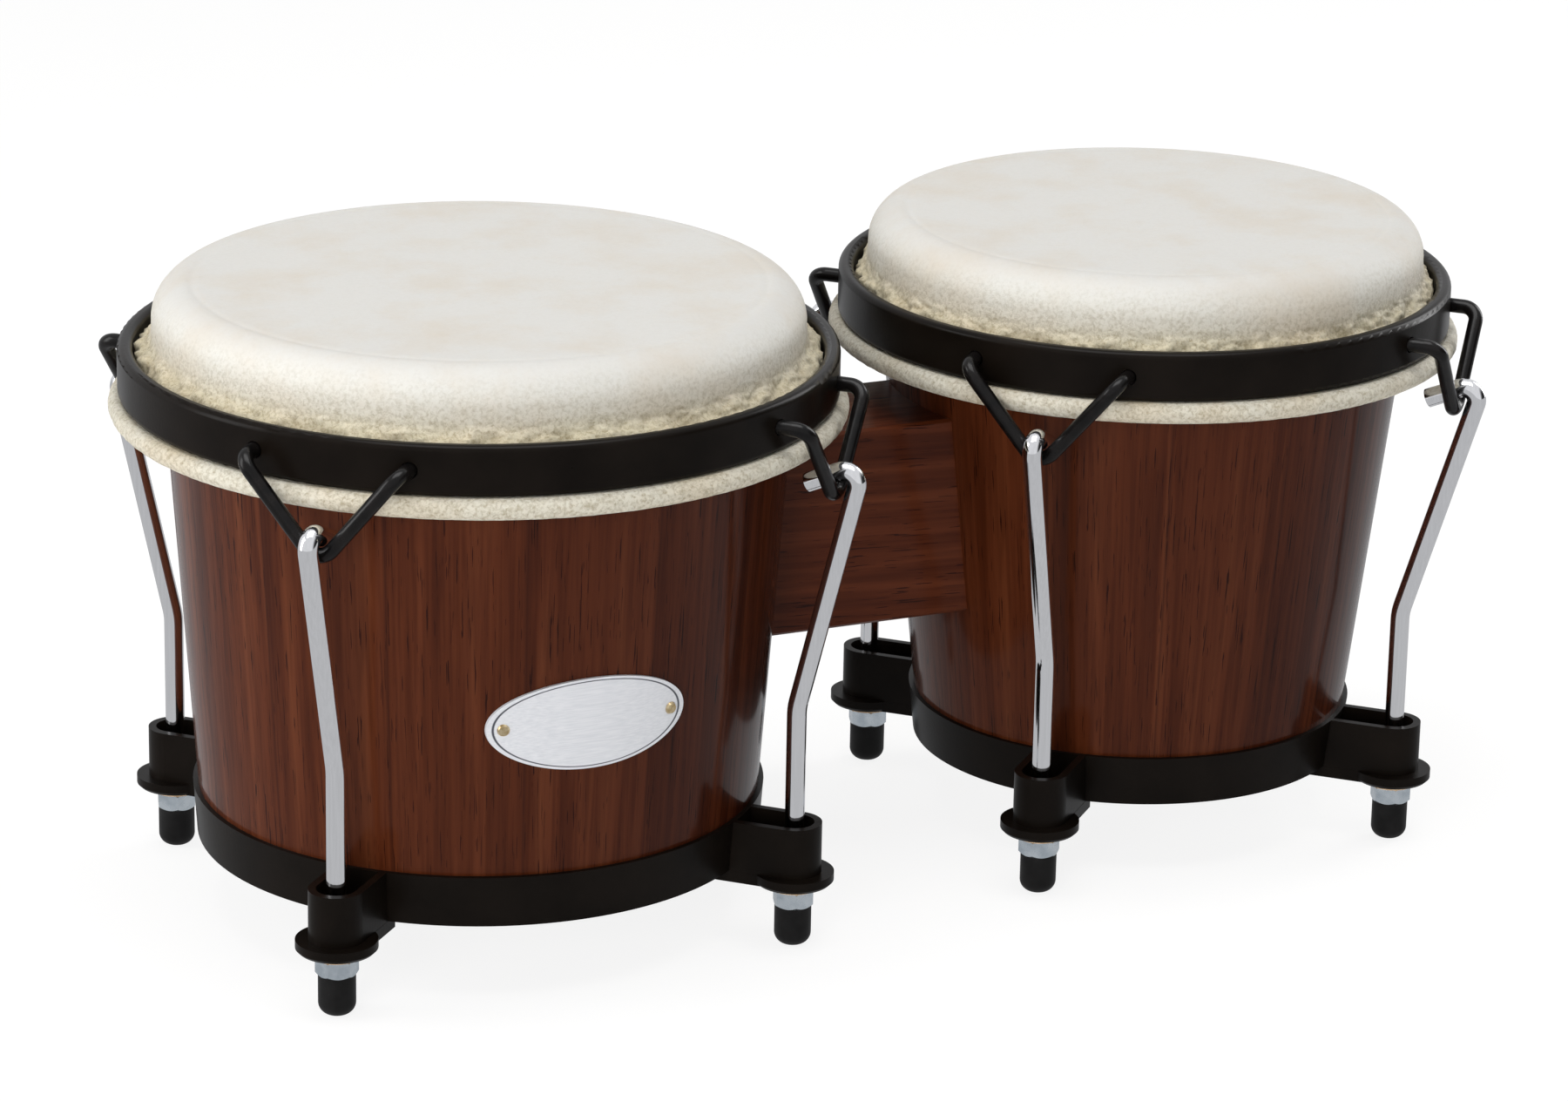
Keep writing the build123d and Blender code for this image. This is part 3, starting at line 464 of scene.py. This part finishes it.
def spread_noise(shape, smooth, seed):
    """Random heights on a grid, blurred by `smooth` cells each way, with both ways closed.

    Each wave of frequency f is weakened by exp(-2 pi^2 (f s)^2), which is a Gaussian blur
    of s cells, and the result is scaled to a spread of 1.
    """
    spots = np.random.default_rng(seed).normal(size=shape)
    waves = [np.fft.fftfreq(n)[:, None] if i == 0 else np.fft.fftfreq(n)[None, :]
             for i, n in enumerate(shape)]
    keep = np.exp(-2 * (np.pi ** 2) * sum((w * s) ** 2 for w, s in zip(waves, smooth)))
    soft = np.fft.ifft2(np.fft.fft2(spots) * keep).real
    return soft / soft.std()


def grid_piece(name, points, material):
    """A smooth mesh on a grid of points whose second direction goes all the way round.

    Each point joins the next one along its row and column, and rows that shrink to a
    point on the axis are merged there.
    """
    rows, columns = points.shape[:2]
    index = np.arange(rows * columns).reshape(rows, columns)
    after = np.roll(index, -1, axis=1)
    quads = np.stack([index[:-1], after[:-1], after[1:], index[1:]], axis=-1).reshape(-1, 4)
    mesh = bpy.data.meshes.new(name)
    mesh.from_pydata(points.reshape(-1, 3), [], quads.tolist())
    shape = bmesh.new()
    shape.from_mesh(mesh)
    bmesh.ops.remove_doubles(shape, verts=shape.verts, dist=MERGE_DISTANCE)
    bmesh.ops.recalc_face_normals(shape, faces=shape.faces)
    shape.to_mesh(mesh)
    shape.free()
    mesh.shade_smooth()
    mesh.materials.append(material)
    piece = bpy.data.objects.new(name, mesh)
    bpy.context.scene.collection.objects.link(piece)
    return piece


def arc(centre, radius, start, end, steps):
    """Points on an arc in the section plane, from one angle to another in degrees."""
    turn = np.radians(np.linspace(start, end, steps))
    return np.stack([centre[0] + radius * np.cos(turn), centre[1] + radius * np.sin(turn)], axis=1)


def run(start, end, steps):
    """Evenly spaced points of a straight run, without its last point."""
    share = np.linspace(0.0, 1.0, steps, endpoint=False)[:, None]
    return np.array(start) * (1 - share) + np.array(end) * share


def rawhide(drum, crest, roll_bottom):
    """Rawhide: the tone follows the height, and fibres fleck it from the shoulder down."""
    made, tree, surface = surface_material(f"rawhide_{drum}")
    where = node(tree, "TexCoord")
    split = node(tree, "SeparateXYZ", {"Vector": where.outputs["Object"]})
    cloud = node(tree, "TexNoise", {
        "Vector": where.outputs["Object"], "Scale": SKIN_CLOUDS, "Detail": 4.0, "Roughness": 0.6})
    fibre = node(tree, "TexNoise", {
        "Vector": where.outputs["Object"], "Scale": 1.0 / FLECK_WIDTH, "Detail": 4.0,
        "Roughness": 0.7, "Distortion": 0.4})
    wander = node(tree, "Math", {0: cloud.outputs["Fac"], 1: CLOUD_SHIFT, 2: split.outputs["Z"]},
                  operation="MULTIPLY_ADD")
    level = node(tree, "MapRange", {
        "Value": wander.outputs[0], "From Min": roll_bottom + CLOUD_SHIFT / 2,
        "From Max": crest + CLOUD_SHIFT / 2})
    tone = node(tree, "ValToRGB", {"Fac": level.outputs[0]}, stops=(
        (0.16, SKIN_ROLL), (0.97, SKIN_TOP), (0.22, SKIN_FIBRE), (0.53, SKIN_FIBRE),
        (0.66, SKIN_SIDE), (0.84, SKIN_EDGE)))
    mottle = node(tree, "ValToRGB", {"Fac": cloud.outputs["Fac"]}, stops=(
        (0.45, "#FFFFFF"), (0.75, SKIN_MOTTLE)))
    toned = node(tree, "Mix", {0: 1.0, 6: tone.outputs[0], 7: mottle.outputs[0]},
                 data_type="RGBA", blend_type="MULTIPLY")
    specks = node(tree, "ValToRGB", {"Fac": fibre.outputs["Fac"]}, stops=(
        (0.33, SKIN_DEEP), (0.56, "#FFFFFF")))
    weight = node(tree, "MapRange", {
        "Value": level.outputs[0], "From Min": 0.95, "From Max": 0.55,
        "To Min": FLECKS[0], "To Max": FLECKS[1]})
    flecked = node(tree, "Mix", {0: weight.outputs[0], 6: toned.outputs[2], 7: specks.outputs[0]},
                   data_type="RGBA", blend_type="MULTIPLY")
    tree.links.new(flecked.outputs[2], surface.inputs["Base Color"])
    relief = node(tree, "Bump", {
        "Height": fibre.outputs["Fac"], "Strength": weight.outputs[0], "Distance": FIBRE_RELIEF})
    tree.links.new(relief.outputs[0], surface.inputs["Normal"])
    surface.inputs["Roughness"].default_value = SKIN_ROUGH
    for socket, value in zip(("Weight", "Scale", "Radius"), SKIN_DEPTH):
        surface.inputs[f"Subsurface {socket}"].default_value = value
    return made


def skin_piece(drum):
    """The skin as one closed sheet turned round the drum's axis.

    Its section runs out along the top, over the shoulder, down the side and out in a
    curve to the rim, r = r0 + (r1 - r0) t^2, then round the roll and back up underneath.
    Noise pushes it about: coarse rucks of fibre inside the rim, finer fraying elsewhere,
    and a push ends at the rim's wall or at the CAD skin's box. The crease is a groove of
    depth d exp(-x^2) round the edge of the flat top.
    """
    centre, shell_radius = drum_axis(drum)
    low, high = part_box(f"{drum}_head_skin")
    rim_low, rim_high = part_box(f"{drum}_rim")
    rim_out = (rim_high.x - rim_low.x) / 2
    rim_in = rim_out - RIM_WALL
    roll_out = (high.x - low.x) / 2 - ROOM
    roll_top, roll_bottom = rim_low.z, low.z + ROOM
    roll_round = (roll_top - roll_bottom) / 2
    inside = shell_radius + ROOM
    outside = inside + SKIN_THICK
    crest = high.z
    under = crest - SKIN_THICK
    shoulder_centre = (outside - SHOULDER, crest - SHOULDER)
    band_from = (shoulder_centre[0] - TOP_BAND, crest)
    flare_from = (outside + FLARE_LEAN, rim_high.z + FLARE_START)
    flare_to = (rim_in - FLARE_SHORT, rim_high.z - FLARE_END)
    rim_foot = (rim_in - ROOM, roll_top - CLOSE_ROOM)
    roll_centre = (roll_out - roll_round, (roll_top + roll_bottom) / 2)
    share = np.linspace(0.0, 1.0, 14, endpoint=False)
    flare = np.stack([flare_from[0] + (flare_to[0] - flare_from[0]) * share ** 2,
                      flare_from[1] + (flare_to[1] - flare_from[1]) * share], axis=1)
    outer_side = [
        run((0.0, crest), band_from, 18),
        run(band_from, (shoulder_centre[0], crest), 12),
        arc(shoulder_centre, SHOULDER, 90, 0, 18),
        run((outside, crest - SHOULDER - NEXT_POINT[0]), flare_from, 4),
        flare,
        run(flare_to, rim_foot, 10),
        run(rim_foot, (roll_centre[0], roll_top - CLOSE_ROOM), 6),
        arc(roll_centre, roll_round - CLOSE_ROOM, 90, -90, 22),
    ]
    inner_side = [
        run((roll_centre[0] - NEXT_POINT[1], roll_bottom), (inside, roll_bottom), 8),
        run((inside, roll_bottom), (inside, crest - SHOULDER), 6),
        arc(shoulder_centre, SHOULDER - SKIN_THICK, 0, 90, 10),
        run((shoulder_centre[0] - NEXT_POINT[2], under), (0.0, under), 6),
        np.array([(0.0, under)]),
    ]
    section = np.concatenate(outer_side + inner_side)
    upper = sum(len(stretch) for stretch in outer_side)
    radius, height = section[:, :1], section[:, 1:]
    turn = np.linspace(0.0, math.tau, ROUND_STEPS, endpoint=False)[None, :]
    seen = np.arange(len(section))[:, None] < upper
    frayed = np.clip((crest - FRAY_START - height) / FRAY_OVER, 0.0, 1.0) * seen
    shape = (len(section), ROUND_STEPS)
    fine = spread_noise(shape, (0.8, 0.8), 3)
    ruck = spread_noise(shape, (2.2, 1.5), 5)
    slow = spread_noise(shape, (8.0, 18.0), 8)
    in_rim = np.clip((rim_high.z + FLARE_START - height) / RUCK_OVER, 0.0, 1.0)
    in_rim = in_rim * (height > roll_top) * seen
    push = frayed * (FRAY[0] * fine + FRAY[1] * slow)
    push = push + in_rim * (RUCK_OUT[0] * ruck + RUCK_OUT[1] * fine)
    limit = np.where(height > roll_top, rim_in + PRESSED - radius, roll_out + ROOM - radius)
    push = np.minimum(push, np.maximum(limit, 0.0))
    lift = in_rim * (RUCK_UP[0] * ruck + RUCK_UP[1] * fine)
    crease_at = (radius - shoulder_centre[0] + CREASE_IN) / CREASE_WIDTH
    sag = CREASE_DEPTH * np.exp(-crease_at ** 2) * seen
    around = radius + push
    up = height + np.minimum(lift, crest - height) - sag
    points = np.stack([
        centre + around * np.cos(turn), around * np.sin(turn), up + 0.0 * turn], axis=-1)
    piece = grid_piece(f"{drum}_rawhide_head", points, rawhide(drum, crest, roll_bottom))
    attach(piece, f"{drum}_tension")
    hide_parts(f"{drum}_head_skin")


for drum in ("large", "small"):
    skin_piece(drum)
    dress(f"{drum}_flesh_hoop", zinc)


# --- Rims and links ---------------------------------------------------------------------
# A rolled steel rim presses on the skin's roll. It has a smoother, glossier coat than the
# ring, and four V-shaped wire links hang in its holes, dipped in black enamel.
RIM_ROUGH = 0.30
ENAMEL_TONES = ("#0A0909", "#171413")
ENAMEL_ROUGH = 0.24
ENAMEL_SHEEN = 0.22                 # specular level
RIPPLES_PER_METRE = 260.0
RIPPLE_RELIEF = (0.10, 0.0003)      # strength, and depth in metres


def dipped_wire():
    """Black enamel on wire: a deep gloss with low ripples where it ran."""
    made, tree, surface = surface_material("black_enamelled_wire")
    where = node(tree, "TexCoord")
    ripple = node(tree, "TexNoise", {
        "Vector": where.outputs["Object"], "Scale": RIPPLES_PER_METRE, "Detail": 1.0})
    colour = node(tree, "ValToRGB", {"Fac": ripple.outputs["Fac"]}, stops=(
        (0.3, ENAMEL_TONES[0]), (0.8, ENAMEL_TONES[1])))
    relief = node(tree, "Bump", {
        "Height": ripple.outputs["Fac"], "Strength": RIPPLE_RELIEF[0],
        "Distance": RIPPLE_RELIEF[1]})
    tree.links.new(colour.outputs[0], surface.inputs["Base Color"])
    tree.links.new(relief.outputs[0], surface.inputs["Normal"])
    surface.inputs["Roughness"].default_value = ENAMEL_ROUGH
    surface.inputs["Specular IOR Level"].default_value = ENAMEL_SHEEN
    return made


rim_coat = powder_coat("powder_coated_steel_rim", RIM_ROUGH)
enamel = dipped_wire()
for drum in ("large", "small"):
    dress(f"{drum}_rim", rim_coat)
    for number in range(1, 5):
        dress(f"{drum}_rim_link_{number}", enamel)


# --- Hook rods, washers, nuts and feet ----------------------------------------------------
# Chromed steel rods hook over the links and pass down through the lugs. Under each plate
# sit a yellow-plated washer and a zinc hexagonal nut, whose collar wears a rubber cap.
CHROME_TONES = ("#F0F0F2", "#F7F7F9")
CHROME_ROUGH = (0.07, 0.10)
MARKS_PER_METRE = 1600.0
MARK_STRETCH = 0.04                 # how much longer than wide a mark is, turned over
RUBBER_TONES = ("#0E0D0D", "#1B1A1A")
RUBBER_ROUGH = 0.50
RUBBER_SHEEN = 0.20                 # specular level
BLOOM_PER_METRE = 220.0
GRAIN_PER_METRE = 2200.0
GRAIN_RELIEF = (0.15, 0.0001)       # strength, and depth in metres
YELLOW_LIGHT = "#F0D3B2"
YELLOW_DARK = "#DDB88F"
YELLOW_ROUGH = 0.50
YELLOW_PATCH = 0.0022
YELLOW_METALLIC = 0.25              # the passivated film is dull, so little of it mirrors


def chrome_plate():
    """Bright chrome: a mirror with the faintest lengthwise polishing marks."""
    made, tree, surface = surface_material("chromed_steel_rod")
    where = node(tree, "TexCoord")
    drawn = node(tree, "Mapping", {
        "Vector": where.outputs["Object"], "Scale": (1, 1, MARK_STRETCH)})
    marks = node(tree, "TexNoise", {
        "Vector": drawn.outputs[0], "Scale": MARKS_PER_METRE, "Detail": 2.0})
    colour = node(tree, "ValToRGB", {"Fac": marks.outputs["Fac"]}, stops=(
        (0.3, CHROME_TONES[0]), (0.7, CHROME_TONES[1])))
    gloss = node(tree, "MapRange", {
        "Value": marks.outputs["Fac"], "To Min": CHROME_ROUGH[0], "To Max": CHROME_ROUGH[1]})
    tree.links.new(colour.outputs[0], surface.inputs["Base Color"])
    tree.links.new(gloss.outputs[0], surface.inputs["Roughness"])
    surface.inputs["Metallic"].default_value = 1.0
    return made


def moulded_rubber():
    """Black rubber: matt, with a trace of bloom and a moulded grain."""
    made, tree, surface = surface_material("moulded_black_rubber")
    where = node(tree, "TexCoord")
    bloom = node(tree, "TexNoise", {
        "Vector": where.outputs["Object"], "Scale": BLOOM_PER_METRE, "Detail": 3.0})
    grain = node(tree, "TexNoise", {
        "Vector": where.outputs["Object"], "Scale": GRAIN_PER_METRE, "Detail": 1.0})
    colour = node(tree, "ValToRGB", {"Fac": bloom.outputs["Fac"]}, stops=(
        (0.35, RUBBER_TONES[0]), (0.75, RUBBER_TONES[1])))
    relief = node(tree, "Bump", {
        "Height": grain.outputs["Fac"], "Strength": GRAIN_RELIEF[0],
        "Distance": GRAIN_RELIEF[1]})
    tree.links.new(colour.outputs[0], surface.inputs["Base Color"])
    tree.links.new(relief.outputs[0], surface.inputs["Normal"])
    surface.inputs["Roughness"].default_value = RUBBER_ROUGH
    surface.inputs["Specular IOR Level"].default_value = RUBBER_SHEEN
    return made


chrome = chrome_plate()
rubber = moulded_rubber()
washer_plate = plated("yellow_plated_washer", YELLOW_LIGHT, YELLOW_DARK, YELLOW_ROUGH,
                      YELLOW_PATCH, YELLOW_METALLIC)
for drum in ("large", "small"):
    dress(f"{drum}_rod_washers", washer_plate)
    for number in range(1, 5):
        dress(f"{drum}_hook_rod_{number}", chrome)
        dress(f"{drum}_tuning_nut_{number}", zinc)
        dress(f"{drum}_foot_cap_{number}", rubber)


# --- Badge --------------------------------------------------------------------------------
# An oval of thin satin aluminium, left blank apart from a printed border line, and bent
# round the larger shell. Two brass rivets hold it.
BADGE_INK = "#4A4C55"
BORDER_AT = 0.940                   # share of the oval's half sizes
BORDER_WIDE = 0.015                 # to each side of its middle, in the same share
BADGE_TONES = ("#DCDEE3", "#E9EAEE")
BADGE_ROUGH = (0.30, 0.48)
BADGE_METALLIC = 0.20               # low, because a satin face scatters what it mirrors
BRUSH_PER_METRE = 2600.0
BRUSH_STRETCH = 0.05                # how much longer than wide a stroke is, turned over


def satin_badge():
    """Satin aluminium with an oval line, from the distance to the plate's middle."""
    low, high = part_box("badge_plate")
    middle, half = (low + high) / 2, (high - low) / 2
    made, tree, surface = surface_material("satin_aluminium_badge")
    where = node(tree, "TexCoord")
    local = node(tree, "VectorMath", {0: where.outputs["Object"], 1: middle}, operation="SUBTRACT")
    scaled = node(tree, "VectorMath", {0: local.outputs[0], 1: (1 / half.x, 0.0, 1 / half.z)},
                  operation="MULTIPLY")
    distance = node(tree, "VectorMath", {0: scaled.outputs[0]}, operation="LENGTH")
    off = node(tree, "Math", {0: distance.outputs["Value"], 1: BORDER_AT}, operation="SUBTRACT")
    size = node(tree, "Math", {0: off.outputs[0]}, operation="ABSOLUTE")
    line = node(tree, "MapRange", {
        "Value": size.outputs[0], "From Min": BORDER_WIDE * 0.4, "From Max": BORDER_WIDE,
        "To Min": 1.0, "To Max": 0.0})
    brushed = node(tree, "Mapping", {
        "Vector": where.outputs["Object"], "Scale": (BRUSH_STRETCH, 1, 1)})
    lines = node(tree, "TexNoise", {
        "Vector": brushed.outputs[0], "Scale": BRUSH_PER_METRE, "Detail": 2.0})
    metal = node(tree, "ValToRGB", {"Fac": lines.outputs["Fac"]}, stops=(
        (0.3, BADGE_TONES[0]), (0.7, BADGE_TONES[1])))
    shown = node(tree, "Mix", {0: line.outputs[0], 6: metal.outputs[0], 7: linear(BADGE_INK)},
                 data_type="RGBA")
    tree.links.new(shown.outputs[2], surface.inputs["Base Color"])
    gloss = node(tree, "MapRange", {
        "Value": lines.outputs["Fac"], "To Min": BADGE_ROUGH[0], "To Max": BADGE_ROUGH[1]})
    tree.links.new(gloss.outputs[0], surface.inputs["Roughness"])
    surface.inputs["Metallic"].default_value = BADGE_METALLIC
    return made


dress("badge_plate", satin_badge())
dress("badge_rivets", brass)
